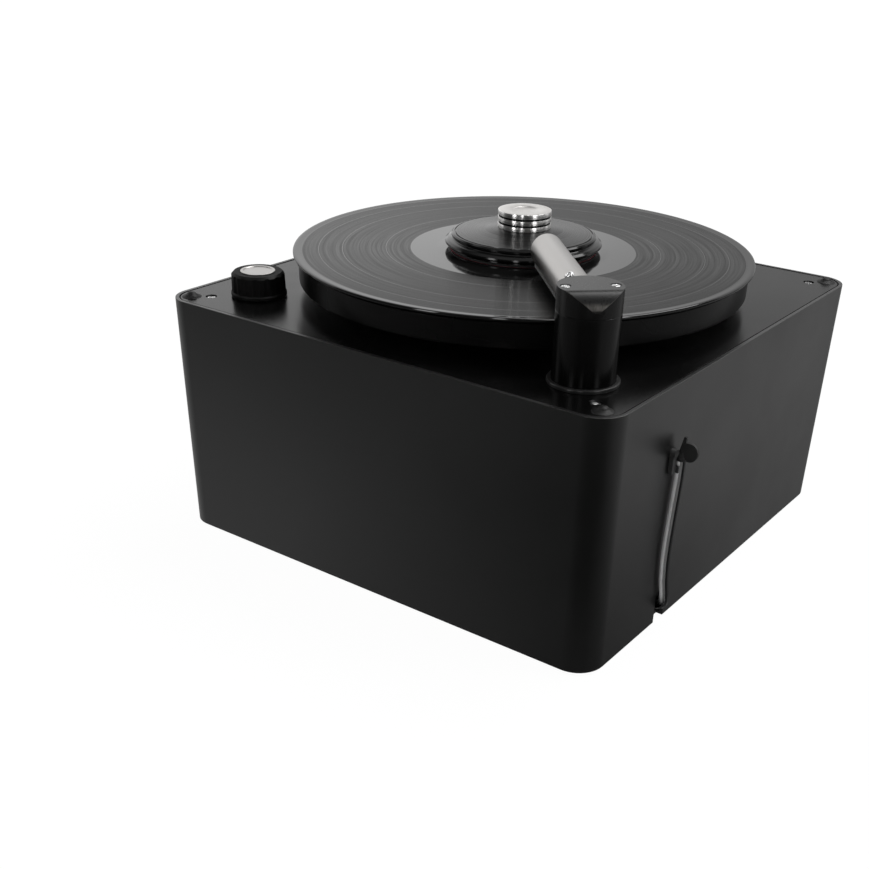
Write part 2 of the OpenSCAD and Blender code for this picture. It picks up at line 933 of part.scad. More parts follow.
// Two velvet strips, one on each side of the slot
module velvet_strips() {
    strip_l = tube_tip - 26;
    color([0.06, 0.06, 0.07])
        on_arm()
            translate([25, 0, arm_z])
                for (side = [0, 1])
                    mirror([0, side, 0])
                        intersection() {
                            rotate([0, 90, 0])
                                pipe(tube_r + velvet_t, tube_r + press, strip_l);
                            translate([0, 1.7, -tube_r - velvet_t - 1])
                                cube([strip_l, 5.6, tube_r]);
                        }
}

// Two screws that clamp the head over the suction tube
module head_screws() {
    color(silver)
        on_arm()
            for (y = [-1, 1])
                translate([0, y * screw_y, arm_z + head_h - 1.8])
                    screw(2.8, 1.9, 1.5 - press, 14);
}

// Small screw on the suction tube beside the head
module tube_screw() {
    color(silver)
        on_arm()
            translate([29, 0, arm_z])
                rotate([-28, 0, 0])
                    translate([0, 0, tube_r + 0.05])
                        screw(2.4, 1.6, 1.3 - press, 4);
}

// Waste tank under the arm, with the air port on its left wall
module waste_tank() {
    w = tank_x1 - tank_x0;
    d = tank_y1 - tank_y0;
    cx = (tank_x0 + tank_x1) / 2;
    cy = (tank_y0 + tank_y1) / 2;
    color([0.82, 0.82, 0.80])
        difference() {
            union() {
                translate([cx, cy, floor_z])
                    round_plate(w, d, tank_r, tank_top - floor_z);
                translate([tank_x0 - port_out, port_y, port_z])
                    rod_x(hose_d / 2 - 1, port_out + 1);
            }
            translate([cx, cy, floor_z + tank_wall])
                round_plate(w - 2 * tank_wall, d - 2 * tank_wall, tank_r - tank_wall, 200);
            translate([tank_x0 - port_out - 1, port_y, port_z])
                rod_x(hose_d / 2 - 3, port_out + 10);
            translate([tank_x1 - 10, drain_y, outlet_z])
                rod_x(2.5, 20);
        }
}

// Tank lid with an inner lip and the boss that the suction pipe slides in
module tank_lid() {
    w = tank_x1 - tank_x0;
    d = tank_y1 - tank_y0;
    cx = (tank_x0 + tank_x1) / 2;
    cy = (tank_y0 + tank_y1) / 2;
    lip_w = w - 2 * tank_wall - 0.2;
    lip_d = d - 2 * tank_wall - 0.2;
    lip_r = tank_r - tank_wall;
    color([0.16, 0.16, 0.17])
        difference() {
            union() {
                translate([cx, cy, tank_top])
                    round_plate(w, d, tank_r, lid_t);
                difference() {
                    translate([cx, cy, tank_top - 3])
                        round_plate(lip_w, lip_d, lip_r, 3 + eps);
                    translate([cx, cy, tank_top - 4])
                        round_plate(lip_w - 4, lip_d - 4, lip_r - 2, 4);
                }
                on_arm()
                    translate([0, 0, tank_top])
                        cylinder(r = 10, h = 7.5);
            }
            on_arm()
                translate([0, 0, tank_top - 10])
                    cylinder(r = pipe_r + run, h = 30);
        }
}

// Sheet strap over the lid that holds the tank on the base plate
module tank_strap() {
    y0 = tank_y0 - 0.3;
    y1 = tank_y1 + 0.3;
    z1 = tank_top + lid_t;
    foot = 11;
    color(steel)
        difference() {
            union() {
                translate([strap_x, y0 - strap_t, z1])
                    cube([strap_w, y1 - y0 + 2 * strap_t, strap_t]);
                translate([strap_x, y0 - strap_t, floor_z])
                    cube([strap_w, strap_t, z1 - floor_z + eps]);
                translate([strap_x, y1, floor_z])
                    cube([strap_w, strap_t, z1 - floor_z + eps]);
                translate([strap_x, y0 - strap_t - foot, floor_z])
                    cube([strap_w, foot + eps, strap_t]);
                translate([strap_x, y1 + strap_t - eps, floor_z])
                    cube([strap_w, foot + eps, strap_t]);
            }
            for (y = [y0 - strap_t - foot / 2, y1 + strap_t + foot / 2])
                translate([strap_x + strap_w / 2, y, floor_z - eps])
                    cylinder(r = 2.1, h = strap_t + 2 * eps);
        }
}

// Outlet nipple at the foot of the tank
module drain_outlet() {
    color([0.16, 0.16, 0.17])
        translate([tank_x1, drain_y, outlet_z])
            difference() {
                union() {
                    rod_x(6, 2);
                    rod_x(drain_r, outlet_out);
                    translate([-tank_wall, 0, 0])
                        rod_x(2.5 - press, tank_wall + 1);
                }
                translate([-10, 0, 0])
                    rod_x(1.4, outlet_out + 20);
            }
}

// Clear drain tube: from the outlet out through the notch and up the wall to the clip
module drain_tube() {
    x0 = tank_x1 + outlet_out;
    route = [[x0, drain_y, outlet_z], [x0 + 6, drain_y, outlet_z], [drain_x - 11, drain_y, 13],
        [drain_x - 5, drain_y - 0.5, 12], [drain_x - 1, drain_y - 1.5, 15.5], [drain_x, drain_y - 3.5, 23],
        [drain_x, drain_y - 7, 36], [drain_x, drain_y - 8.5, 52], [drain_x, drain_y - 7.5, 72],
        [drain_x, clip_y - 1, 92], [drain_x, clip_y, tube_top_z - 10], [drain_x, clip_y, tube_top_z]];
    color([0.85, 0.88, 0.88])
        swept(smooth_path(route, 4), drain_r, 12, [0, 0, 1]);
}

// Clip on the wall: a stud through the casing, a short arm and an open ring round the tube's top
module drain_clip() {
    z = tube_top_z;
    ring_r = drain_r + 1.3;
    ring_t = 4;
    color(black)
        difference() {
            union() {
                translate([wall_x - wall_t - 1.2, stud_y, z + stud_rise])
                    rod_x(2, wall_t + 2);
                translate([wall_x - wall_t - 1.2, stud_y, z + stud_rise])
                    rod_x(3, 1.2);
                translate([wall_x, stud_y, z + stud_rise])
                    rod_x(2.6, 3.4);
                translate([wall_x, stud_y - 2, z - 7])
                    cube([2.6, 4, stud_rise + 7]);
                translate([wall_x, stud_y - 2, z - 7])
                    cube([2.6, clip_y - stud_y + 1, ring_t]);
                intersection() {
                    translate([drain_x, clip_y, z - 7])
                        cylinder(r = ring_r, h = ring_t);
                    translate([wall_x, clip_y - 10, z - 8])
                        cube([drain_x - wall_x + 0.5, 20, 10]);
                }
            }
            translate([drain_x, clip_y, z - 8])
                cylinder(r = drain_r + 0.1, h = 10);
        }
}

// Stopper in the top of the drain tube: a plug, a round thumb disc and an upright tab
module drain_stopper() {
    z = tube_top_z;
    disc_r = 5.6;
    disc_t = 2;
    fin_t = 1.6;
    color(rubber)
        union() {
            translate([drain_x, clip_y, z])
                cylinder(r = drain_r + 0.6, h = 2.2);
            translate([drain_x, clip_y, z + 2.1])
                cylinder(r1 = drain_r, r2 = 2.2, h = 3.4);
            translate([drain_x + 4.6, clip_y - 1 - disc_t / 2, z + disc_r + 0.3])
                rod_y(disc_r, disc_t);
            translate([drain_x, clip_y - 1 + fin_t / 2, z])
                rotate([90, 0, 0])
                    linear_extrude(fin_t)
                        polygon([[-1.9, 3.5], [1.9, 3.5], [2.1, 14.5], [0.5, 14.5]]);
        }
}

// Air hose from the tank's port to the vacuum motor's intake
module air_hose() {
    r = hose_d / 2;
    mouth_y = vac_y - vac_base_r - 12;
    route = [[tank_x0 - port_out, port_y, port_z], [tank_x0 - port_out - 10, port_y, port_z],
        [-10, port_y - 2, port_z - 3], [-50, port_y - 4, port_z - 16], [-76, port_y + 4, port_z - 38],
        [vac_x, -40, vac_mouth_z + 12], [vac_x, -20, vac_mouth_z + 1], [vac_x, mouth_y - 8, vac_mouth_z],
        [vac_x, mouth_y, vac_mouth_z]];
    color([0.13, 0.13, 0.14])
        swept(smooth_path(route, 4), r, 12, [0, 0, 1]);
}

// Intake box under the fan, with the hose's spigot on its front
module vac_base() {
    color([0.16, 0.16, 0.17])
        on_vac()
            difference() {
                union() {
                    translate([0, 0, floor_z])
                        cylinder(r = vac_base_r, h = vac_base_h);
                    translate([0, -vac_base_r - 12, vac_mouth_z])
                        rod_y(hose_d / 2, 20);
                }
                translate([0, 0, floor_z + 3])
                    cylinder(r = vac_base_r - 4, h = vac_base_h - 6);
                translate([0, 0, floor_z + 5])
                    cylinder(r = 18, h = vac_base_h);
                translate([0, -vac_base_r - 13, vac_mouth_z])
                    rod_y(hose_d / 2 - 2.5, 30);
            }
}

// Fan housing with its intake eye and its outlet to the back
module fan_housing() {
    outlet_y = 40;
    color(steel)
        on_vac()
            difference() {
                union() {
                    translate([0, 0, fan_z])
                        cylinder(r = fan_r, h = fan_h);
                    translate([-duct_w / 2, outlet_y, duct_z])
                        cube([duct_w, duct_y - vac_y - outlet_y, duct_h]);
                }
                translate([0, 0, fan_z + fan_wall])
                    cylinder(r = fan_r - 4, h = fan_h - 2 * fan_wall);
                translate([0, 0, fan_z - eps])
                    cylinder(r = 20, h = 10);
                translate([-duct_w / 2 + 2, 30, duct_z + 2])
                    cube([duct_w - 4, 60, duct_h - 4]);
                translate([0, 0, fan_top - 10])
                    cylinder(r = vac_shaft_r + run, h = 20);
            }
}

// Fan wheel with eight swept blades between two discs
module impeller() {
    wheel_r = 50;
    z0 = fan_z + 8;
    color(silver)
        on_vac()
            difference() {
                union() {
                    translate([0, 0, z0])
                        pipe(wheel_r, 22, 1.5);
                    translate([0, 0, z0 + 20])
                        cylinder(r = wheel_r, h = 1.5);
                    translate([0, 0, z0])
                        cylinder(r = 9, h = 25);
                    for (i = [0 : 7])
                        rotate([0, 0, i * 45])
                            translate([24, 0, z0 + 1.4])
                                rotate([0, 0, 35])
                                    translate([0, -0.8, 0])
                                        cube([27, 1.6, 18.7]);
                }
                translate([0, 0, z0 - eps])
                    cylinder(r = vac_shaft_r + press, h = 40);
            }
}

// Shaft that carries the fan wheel
module vac_shaft() {
    color(silver)
        on_vac()
            translate([0, 0, fan_z + 6])
                cylinder(r = vac_shaft_r, h = fan_h + 6);
}

// Vacuum motor on the fan housing, with cooling slots and an upper bearing cap
module vac_motor() {
    color(steel)
        on_vac()
            difference() {
                union() {
                    translate([0, 0, fan_top])
                        cylinder(r = vac_can_r, h = vac_can_h);
                    translate([0, 0, fan_top + vac_can_h - eps])
                        cylinder(r1 = 24, r2 = 18, h = 7);
                }
                translate([0, 0, fan_top - eps])
                    cylinder(r = vac_shaft_r + run, h = 14);
                ring_of(10, vac_can_r)
                    translate([-4, -4, 12])
                        translate([0, 0, fan_top])
                            cube([10, 8, vac_can_h - 26]);
            }
}

// Ring and three tie rods that press the fan housing onto the base plate
module vac_bracket() {
    plate_t = 3;
    ring_w = 12;
    color(satin)
        on_vac() {
            translate([0, 0, fan_top])
                difference() {
                    union() {
                        cylinder(r = vac_can_r + ring_w, h = plate_t);
                        for (a = tie_angles)
                            rotate([0, 0, a]) {
                                translate([0, -tie_pad_r, 0])
                                    cube([tie_pitch, 2 * tie_pad_r, plate_t]);
                                translate([tie_pitch, 0, 0])
                                    cylinder(r = tie_pad_r, h = plate_t);
                            }
                    }
                    translate([0, 0, -eps])
                        cylinder(r = vac_can_r + 0.3, h = plate_t + 2 * eps);
                }
            for (a = tie_angles)
                rotate([0, 0, a])
                    translate([tie_pitch, 0, floor_z])
                        cylinder(r = tie_rod_r, h = fan_top - floor_z + 1);
        }
}

// Duct that leads the fan's air to the slots in the back wall
module exhaust_duct() {
    y0 = duct_y - 2;
    y1 = rear_y - wall_t - 0.1;
    w = duct_w + 0.6;
    h = duct_h + 0.6;
    color([0.16, 0.16, 0.17])
        translate([vac_x, y0, duct_z + duct_h / 2])
            difference() {
                translate([-w / 2 - 2, 0, -h / 2 - 2])
                    cube([w + 4, y1 - y0, h + 4]);
                translate([-w / 2, -eps, -h / 2])
                    cube([w, y1 - y0 + 1, h]);
            }
}

// Snap-in mains inlet in the back wall
module mains_inlet() {
    color(black)
        translate([inlet_x, rear_y, rear_z])
            difference() {
                union() {
                    translate([-13.4, -24, -9.9])
                        cube([26.8, 24 + eps, 19.8]);
                    translate([-15.5, 0, -12])
                        cube([31, 2, 24]);
                }
                translate([-12, -16, -8.5])
                    cube([24, 20, 17]);
                for (p = pin_places)
                    translate([p[0] - 1, -20, p[1] - 2])
                        cube([2, 10, 4]);
            }
}

// Three flat pins of the mains inlet
module inlet_pins() {
    color(silver)
        translate([inlet_x, rear_y, rear_z])
            for (p = pin_places)
                translate([p[0] - 1, -20, p[1] - 2])
                    cube([2, 17.5, 4]);
}

// Frame of the mains rocker switch
module rocker_frame() {
    color(black)
        translate([rocker_x, rear_y, rear_z])
            difference() {
                union() {
                    translate([-9.5, -20, -6.5])
                        cube([19, 20 + eps, 13]);
                    translate([-10.5, 0, -7.5])
                        cube([21, 1.6, 15]);
                }
                translate([-8, -8, -5])
                    cube([16, 20, 10]);
                translate([0, rocker_pivot, -5.9])
                    cylinder(r = 1 + run, h = 11.8);
            }
}

// Rocker of the mains switch on its pivot pins, tilted to its off side
module rocker() {
    color(rubber)
        translate([rocker_x, rear_y + rocker_pivot, rear_z]) {
            rotate([0, 0, rocker_tilt])
                difference() {
                    translate([-7.2, -1.8, -4.8])
                        cube([14.4, 7.6, 9.6]);
                    translate([0, 16.5, -6])
                        cylinder(r = 12, h = 12);
                }
            translate([0, 0, -5.8])
                cylinder(r = 1, h = 11.6);
        }
}

// Control knob with shallow finger flutes and a low skirt
module control_knob() {
    r = knob_d / 2;
    grip_r = r - 0.6;
    top_r = grip_r - 0.3;
    edge = 1.6;
    base = deck_z + 1;
    color(black)
        on_knob()
            difference() {
                union() {
                    translate([0, 0, base])
                        cylinder(r = r, h = 1.6);
                    translate([0, 0, base + 1.5])
                        cylinder(r1 = r, r2 = grip_r, h = 0.8);
                    translate([0, 0, base + 2.2])
                        cylinder(r1 = grip_r, r2 = top_r, h = knob_h - 2.2 - edge);
                    translate([0, 0, base + knob_h - edge - eps])
                        cylinder(r1 = top_r, r2 = top_r - edge, h = edge + eps);
                }
                ring_of(knob_flutes, grip_r + 5.2)
                    translate([0, 0, base + 2.4])
                        cylinder(r = 6, h = knob_h, $fn = 48);
                translate([0, 0, base - eps])
                    cylinder(r = 9.5, h = 4);
                translate([0, 0, base - eps])
                    cylinder(r = 3 + press, h = knob_h - 2.5);
                translate([0, 0, base + knob_h - 1.2])
                    cylinder(r = 11.2, h = 2);
            }
}

// Silver cap set in the knob's top, with a raised rim
module knob_cap() {
    base = deck_z + knob_h - 0.2;
    color(silver)
        on_knob()
            difference() {
                translate([0, 0, base])
                    cylinder(r = 11.15, h = 1.7);
                translate([0, 0, base + 1.3])
                    cylinder(r = 9.4, h = 1);
            }
}

// Rotary switch under the deck, with its threaded neck
module switch_body() {
    color([0.16, 0.16, 0.17])
        on_knob()
            difference() {
                union() {
                    translate([0, 0, deck_under - 22])
                        cylinder(r = 14, h = 22);
                    translate([0, 0, deck_under - eps])
                        cylinder(r = 4.9, h = deck_t + 3.4 + eps);
                    ring_of(5, 10, 36)
                        translate([-0.5, -1.5, deck_under - 28])
                            cube([1, 3, 7]);
                }
                translate([0, 0, deck_under - 14])
                    cylinder(r = 3 + run, h = 40);
            }
}

// Shaft of the rotary switch, in the knob's bore
module switch_shaft() {
    color(steel)
        on_knob()
            translate([0, 0, deck_under - 13])
                cylinder(r = 3, h = deck_t + 24.5);
}

// Hexagon nut that fixes the rotary switch to the deck
module switch_nut() {
    color(silver)
        on_knob()
            translate([0, 0, deck_z])
                difference() {
                    cylinder(r = 7.5, h = 2.2, $fn = 6);
                    translate([0, 0, -eps])
                        cylinder(r = 4.9 + press, h = 3);
                }
}

// Control board on four spacers
module control_board() {
    place = [casing_w / 2 - 71.5, casing_d / 2 - 86, 0];
    w = 80;
    d = 60;
    spacer_h = 8;
    z = floor_z + spacer_h;
    top = z + 1.5;
    color([0.05, 0.25, 0.12])
        translate(place) {
            translate([-w / 2, -d / 2, z])
                cube([w, d, 1.6]);
            four(w / 2 - 5, d / 2 - 5)
                translate([0, 0, floor_z])
                    cylinder(r = 3, h = spacer_h + eps);
            // relay, capacitor and transformer
            translate([-30, -20, top])
                cube([28, 12, 15]);
            translate([20, 8, top])
                cylinder(r = 9, h = 28);
            translate([-30, 4, top])
                cube([18, 15, 14]);
        }
}

casing();
deck();
base_plate();
feet();
standoffs();
button_screws();
corner_pads();
bearing_housing();
thrust_disc();
motor_standoffs();
gear_case();
motor_can();
gear_shaft();
coupling();
spindle();
platter();
platter_mat();
record();
record_label();
clamp_body();
clamp_seal();
clamp_nut();
clamp_clip();
arm_sleeve();
arm_collar();
arm_spring();
thrust_washer();
arm_post();
suction_pipe();
arm_head();
arm_tube();
tube_plug();
velvet_strips();
head_screws();
tube_screw();
waste_tank();
tank_lid();
tank_strap();
drain_outlet();
drain_tube();
drain_clip();
drain_stopper();
air_hose();
vac_base();
fan_housing();
impeller();
vac_shaft();
vac_motor();
vac_bracket();
exhaust_duct();
mains_inlet();
inlet_pins();
rocker_frame();
rocker();
control_knob();
knob_cap();
switch_body();
switch_shaft();
switch_nut();
control_board();
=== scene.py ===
"""Looks of the record cleaning machine: finishes, finely turned pieces, light, floor and camera.

Everything is in metres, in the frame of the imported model: origin under the spindle on the surface
that the feet stand on, +X right, +Y back, +Z up. Reading order: camera, materials, the finishes of
the CAD nodes, the finer pieces that stand for some of them, floor, lamps, world.
"""
import json
import math

import bmesh
import bpy
from mathutils import Matrix, Vector


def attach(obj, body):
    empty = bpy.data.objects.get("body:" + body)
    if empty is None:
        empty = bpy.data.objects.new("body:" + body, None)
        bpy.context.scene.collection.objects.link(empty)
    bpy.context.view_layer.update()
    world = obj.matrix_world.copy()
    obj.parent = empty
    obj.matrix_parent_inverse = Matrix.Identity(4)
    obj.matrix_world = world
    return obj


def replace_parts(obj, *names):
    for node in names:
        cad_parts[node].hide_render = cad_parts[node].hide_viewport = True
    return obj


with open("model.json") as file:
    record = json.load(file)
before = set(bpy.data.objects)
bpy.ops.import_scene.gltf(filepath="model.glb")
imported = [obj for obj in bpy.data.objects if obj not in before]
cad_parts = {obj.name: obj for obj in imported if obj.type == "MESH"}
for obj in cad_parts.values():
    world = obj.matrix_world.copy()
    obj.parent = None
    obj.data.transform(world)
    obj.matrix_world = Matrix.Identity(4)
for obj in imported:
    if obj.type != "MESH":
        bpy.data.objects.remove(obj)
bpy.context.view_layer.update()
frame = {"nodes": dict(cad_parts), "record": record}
nodes = frame["nodes"]

MM = 0.001

# Camera, solved from the photograph's edges and ellipses
IMAGE_PX = 869
FOCAL_PX = 1162.04
SENSOR_MM = 36.0
CAMERA_AZIMUTH = 35.542
CAMERA_ELEVATION = 33.207
CAMERA_ROLL = 1.474
CAMERA_DISTANCE = 0.86966
CAMERA_OFFSET = (-0.03824, -0.10485)
CAMERA_SHIFT = (-0.02820, 0.24)

# Places and sizes that the pieces share with the CAD, in millimetres
POST = (123.2, -122.7)
POST_AXIS = [c * MM for c in POST]
RECORD_R = 150.8
RECORD_Z = 184.7
LABEL_Z = 186.7
LABEL_R = 48.5
PIN_R = 3.55
POST_R = 18.0
ARM_ANGLE = 133.6
ARM_Z = 199.35
HEAD_H = 13.0
HEAD_ROUND = 10.1
HEAD_SCREW_Y = 13.6
HEAD_SCREW_DEPTH = 1.8
TUBE_SCREW_ALONG = 29.0
TUBE_SCREW_LEAN = -28.0
TUBE_R = 10.1
NECK_Z = 200.5
NECK_R = 8.0
NECK_DEPTH = 11.0
NUT_R = 17.4
NUT_H = 10.7

# Widths of the edges that are rounded for the light, in metres
SOFT_EDGES = {
    "casing": 0.0006, "deck": 0.0005, "platter": 0.0005, "arm_post": 0.0007, "arm_head": 0.0005,
    "arm_tube": 0.0003, "arm_collar": 0.0003, "control_knob": 0.0003, "knob_cap": 0.0002,
}

# The record's own rings, in millimetres: edge of the dead wax, separators between the tracks and
# outer edge of the grooves; then how deep the grooved face lies under the label's face, the rise up
# to the label, the label's seat and the bead at the edge
DEAD_WAX_R = 74.2
SEPARATORS_R = [90.3, 118.8, 134.2]
SEPARATOR_HALF = 0.15
GROOVES_OUT_R = 145.5
GROOVES_SUNK = 0.25
LABEL_RISE = 0.2
LABEL_SEAT = 0.12
BEAD_RISE = 0.1

# Stage levels: the floor as the camera sees it and as the black faces mirror it, and the room
FLOOR_WHITE = 0.95
FLOOR_GLOW = 1.02
# Painted shade and shadow on the floor as the black faces mirror it: a dark spot in front of the near
# corner and a dark foot by the right wall
FLOOR_DARK_CENTRE = (0.30, -0.42)
FLOOR_DARK_NEAR = 0.12
FLOOR_DARK_FAR = 0.60
FLOOR_FOOT_SHADOW_LEVEL = 0.6
FLOOR_MIRROR_DARK = 0.03
FLOOR_MIRROR_BRIGHT = 0.50
WORLD_FILL = 0.30
MIRROR_ROOM = 0.06
MIRROR_CEILING = 0.60
# Bright panels in mirrors: azimuth from the camera's side and half width, lowest and highest
# elevation (degrees), level
MIRROR_PANELS = [
    (180, 62, 0, 34, 0.62),
    (-155, 30, 0, 34, 0.56),
    (-112, 9, 5, 50, 1.6),
    (112, 8, 5, 50, 1.6),
    (-48, 5, 5, 50, 7.0),
    (-12, 3, 5, 50, 6.0),
    (44, 6, 5, 50, 7.0),
]


def make_camera():
    az, el, roll = (math.radians(a) for a in (CAMERA_AZIMUTH, CAMERA_ELEVATION, CAMERA_ROLL))
    back = Vector((math.sin(az) * math.cos(el), -math.cos(az) * math.cos(el), math.sin(el)))
    level_right = (-back).cross(Vector((0, 0, 1))).normalized()
    level_up = level_right.cross(-back)
    right = math.cos(roll) * level_right + math.sin(roll) * level_up
    up = -math.sin(roll) * level_right + math.cos(roll) * level_up
    data = bpy.data.cameras.new("camera")
    data.sensor_width = SENSOR_MM
    data.lens = FOCAL_PX / IMAGE_PX * SENSOR_MM
    data.shift_x, data.shift_y = CAMERA_SHIFT
    data.clip_start, data.clip_end = 0.05, 50
    camera = bpy.data.objects.new("camera", data)
    bpy.context.collection.objects.link(camera)
    place = back * CAMERA_DISTANCE + right * CAMERA_OFFSET[0] + up * CAMERA_OFFSET[1]
    turn = Matrix((right, up, back)).transposed().to_4x4()
    camera.matrix_world = Matrix.Translation(place) @ turn
    bpy.context.scene.camera = camera


# Node material helpers


class Tree:
    """A material's node tree with short calls for the nodes that the finishes use."""

    def __init__(self, name):
        self.material = bpy.data.materials.new(name)
        self.material.use_nodes = True
        self.tree = self.material.node_tree
        self.tree.nodes.clear()
        self.out = self.add("ShaderNodeOutputMaterial")

    def add(self, kind, **settings):
        node = self.tree.nodes.new(kind)
        for key, value in settings.items():
            setattr(node, key, value)
        return node

    def link(self, source, target):
        self.tree.links.new(source, target)

    def feed(self, socket, value):
        if isinstance(value, bpy.types.NodeSocket):
            self.link(value, socket)
        else:
            socket.default_value = value

    def coords(self, scale=(1, 1, 1)):
        place = self.add("ShaderNodeTexCoord")
        mapping = self.add("ShaderNodeMapping")
        mapping.inputs["Scale"].default_value = scale
        self.link(place.outputs["Object"], mapping.inputs["Vector"])
        return mapping.outputs["Vector"]

    def noise(self, scale, detail=2.0, roughness=0.5, vector=None, stretch=(1, 1, 1)):
        node = self.add("ShaderNodeTexNoise")
        node.inputs["Scale"].default_value = scale
        node.inputs["Detail"].default_value = detail
        node.inputs["Roughness"].default_value = roughness
        self.link(vector or self.coords(stretch), node.inputs["Vector"])
        return node.outputs["Fac"]

    def math(self, operation, a, b=0.0, c=0.0):
        node = self.add("ShaderNodeMath", operation=operation)
        for socket, value in zip(node.inputs, (a, b, c)):
            self.feed(socket, value)
        return node.outputs[0]

    def plus(self, first, *others):
        for other in others:
            first = self.math("ADD", first, other)
        return first

    def times(self, first, *others):
        for other in others:
            first = self.math("MULTIPLY", first, other)
        return first

    def ramp(self, value, low, high, from_low=0.0, from_high=1.0, curve="LINEAR"):
        """value mapped from its own range to low..high, and held at its ends."""
        node = self.add("ShaderNodeMapRange", interpolation_type=curve)
        self.feed(node.inputs["Value"], value)
        node.inputs["From Min"].default_value = from_low
        node.inputs["From Max"].default_value = from_high
        node.inputs["To Min"].default_value = low
        node.inputs["To Max"].default_value = high
        return node.outputs["Result"]

    def smooth(self, value, low, high, from_low, from_high):
        """A soft step from low to high while value goes from from_low to from_high."""
        return self.ramp(value, low, high, from_low, from_high, "SMOOTHSTEP")

    def mix(self, factor, a, b):
        node = self.add("ShaderNodeMix", data_type="RGBA")
        self.feed(node.inputs["Factor"], factor)
        self.feed(node.inputs[6], a)
        self.feed(node.inputs[7], b)
        return node.outputs[2]

    def bump(self, height, distance, strength=1.0, normal=None):
        node = self.add("ShaderNodeBump")
        node.inputs["Strength"].default_value = strength
        node.inputs["Distance"].default_value = distance
        self.link(height, node.inputs["Height"])
        if normal:
            self.link(normal, node.inputs["Normal"])
        return node.outputs["Normal"]

    def radius(self, centre=(0, 0)):
        """Distance from an upright axis, in metres, and x and y from it and z."""
        place = self.add("ShaderNodeTexCoord").outputs["Object"]
        split = self.add("ShaderNodeSeparateXYZ")
        self.link(place, split.inputs[0])
        x = self.math("SUBTRACT", split.outputs[0], centre[0])
        y = self.math("SUBTRACT", split.outputs[1], centre[1])
        return self.length(x, y), x, y, split.outputs[2]

    def length(self, a, b):
        return self.math("SQRT", self.plus(self.times(a, a), self.times(b, b)))

    def noise_1d(self, value, scale, detail=2.0):
        node = self.add("ShaderNodeTexNoise", noise_dimensions="1D")
        node.inputs["Scale"].default_value = scale
        node.inputs["Detail"].default_value = detail
        self.feed(node.inputs["W"], value)
        return node.outputs["Fac"]

    def principled(self, **sockets):
        bsdf = self.add("ShaderNodeBsdfPrincipled")
        names = {
            "color": "Base Color", "metal": "Metallic", "rough": "Roughness", "normal": "Normal",
            "specular": "Specular IOR Level", "aniso": "Anisotropic", "turn": "Anisotropic Rotation",
            "tangent": "Tangent", "sheen": "Sheen Weight", "sheen_rough": "Sheen Roughness",
            "ior": "IOR", "transmission": "Transmission Weight",
        }
        for key, value in sockets.items():
            self.feed(bsdf.inputs[names[key]], value)
        return bsdf.outputs[0]

    def diffuse(self, color):
        matt = self.add("ShaderNodeBsdfDiffuse")
        self.feed(matt.inputs["Color"], color)
        return matt.outputs[0]

    def emission(self, level, strength=1.0):
        glow = self.add("ShaderNodeEmission")
        glow.inputs["Color"].default_value = grey(level)
        self.feed(glow.inputs["Strength"], strength)
        return glow.outputs[0]

    def blend(self, factor, a, b):
        """Shader a where factor is 0 and shader b where it is 1."""
        node = self.add("ShaderNodeMixShader")
        self.feed(node.inputs[0], factor)
        self.link(a, node.inputs[1])
        self.link(b, node.inputs[2])
        return node.outputs[0]

    def surface(self, shader):
        self.link(shader, self.out.inputs["Surface"])

    def shader(self, dim=None, **sockets):
        """The finish; dim is the share of it that a dead black takes, as in fine pits or grooves."""
        finish = self.principled(**sockets)
        if dim is not None:
            finish = self.blend(dim, finish, self.diffuse(grey(PIT_BLACK)))
        self.surface(finish)

    def turned_tangent(self):
        node = self.add("ShaderNodeTangent", direction_type="RADIAL", axis="Z")
        return node.outputs[0]


# Level of the dead black in fine pits and grooves
PIT_BLACK = 0.002


def grey(level):
    return (level, level, level, 1.0)


def warm(level, drift=0.01):
    return (level * (1 + drift), level, level * (1 - drift), 1.0)


# Finishes


def coated_metal(name, level, rough, grain=0.00004, specular=0.5, dim=0.0):
    """Fine powder coat: dark, slightly uneven in gloss, with a barely visible grain."""
    t = Tree(name)
    cloud = t.noise(14, 3, 0.55)
    speck = t.noise(1500, 2, 0.6)
    tone = t.mix(t.ramp(cloud, 0, 1, 0.35, 0.65), grey(level * 0.92), grey(level * 1.1))
    tone = t.mix(t.ramp(speck, 0, 0.25, 0.55, 0.8), tone, grey(level * 1.9))
    gloss = t.ramp(cloud, rough - 0.03, rough + 0.03, 0.35, 0.65)
    t.shader(color=tone, rough=gloss, specular=specular, normal=t.bump(speck, grain, 0.6), dim=dim)
    return t.material


def moulded_plastic(name, level, rough, scratch=0.00002, dim=0.0):
    """Machined or moulded black plastic with faint upright scratches."""
    t = Tree(name)
    cloud = t.noise(60, 3, 0.5)
    lines = t.noise(900, 2, 0.6, stretch=(1, 1, 0.06))
    tone = t.mix(t.ramp(cloud, 0, 1, 0.3, 0.7), grey(level * 0.85), grey(level * 1.15))
    gloss = t.ramp(lines, rough - 0.06, rough + 0.08, 0.3, 0.7)
    t.shader(color=tone, rough=gloss, normal=t.bump(lines, scratch, 0.5), dim=dim)
    return t.material


def rubber_like(name, level, rough=0.75):
    t = Tree(name)
    speck = t.noise(1200, 3, 0.6)
    tone = t.mix(speck, grey(level * 0.8), grey(level * 1.25))
    t.shader(color=tone, rough=t.ramp(speck, rough - 0.08, rough + 0.08),
             normal=t.bump(speck, 0.00006, 0.7))
    return t.material


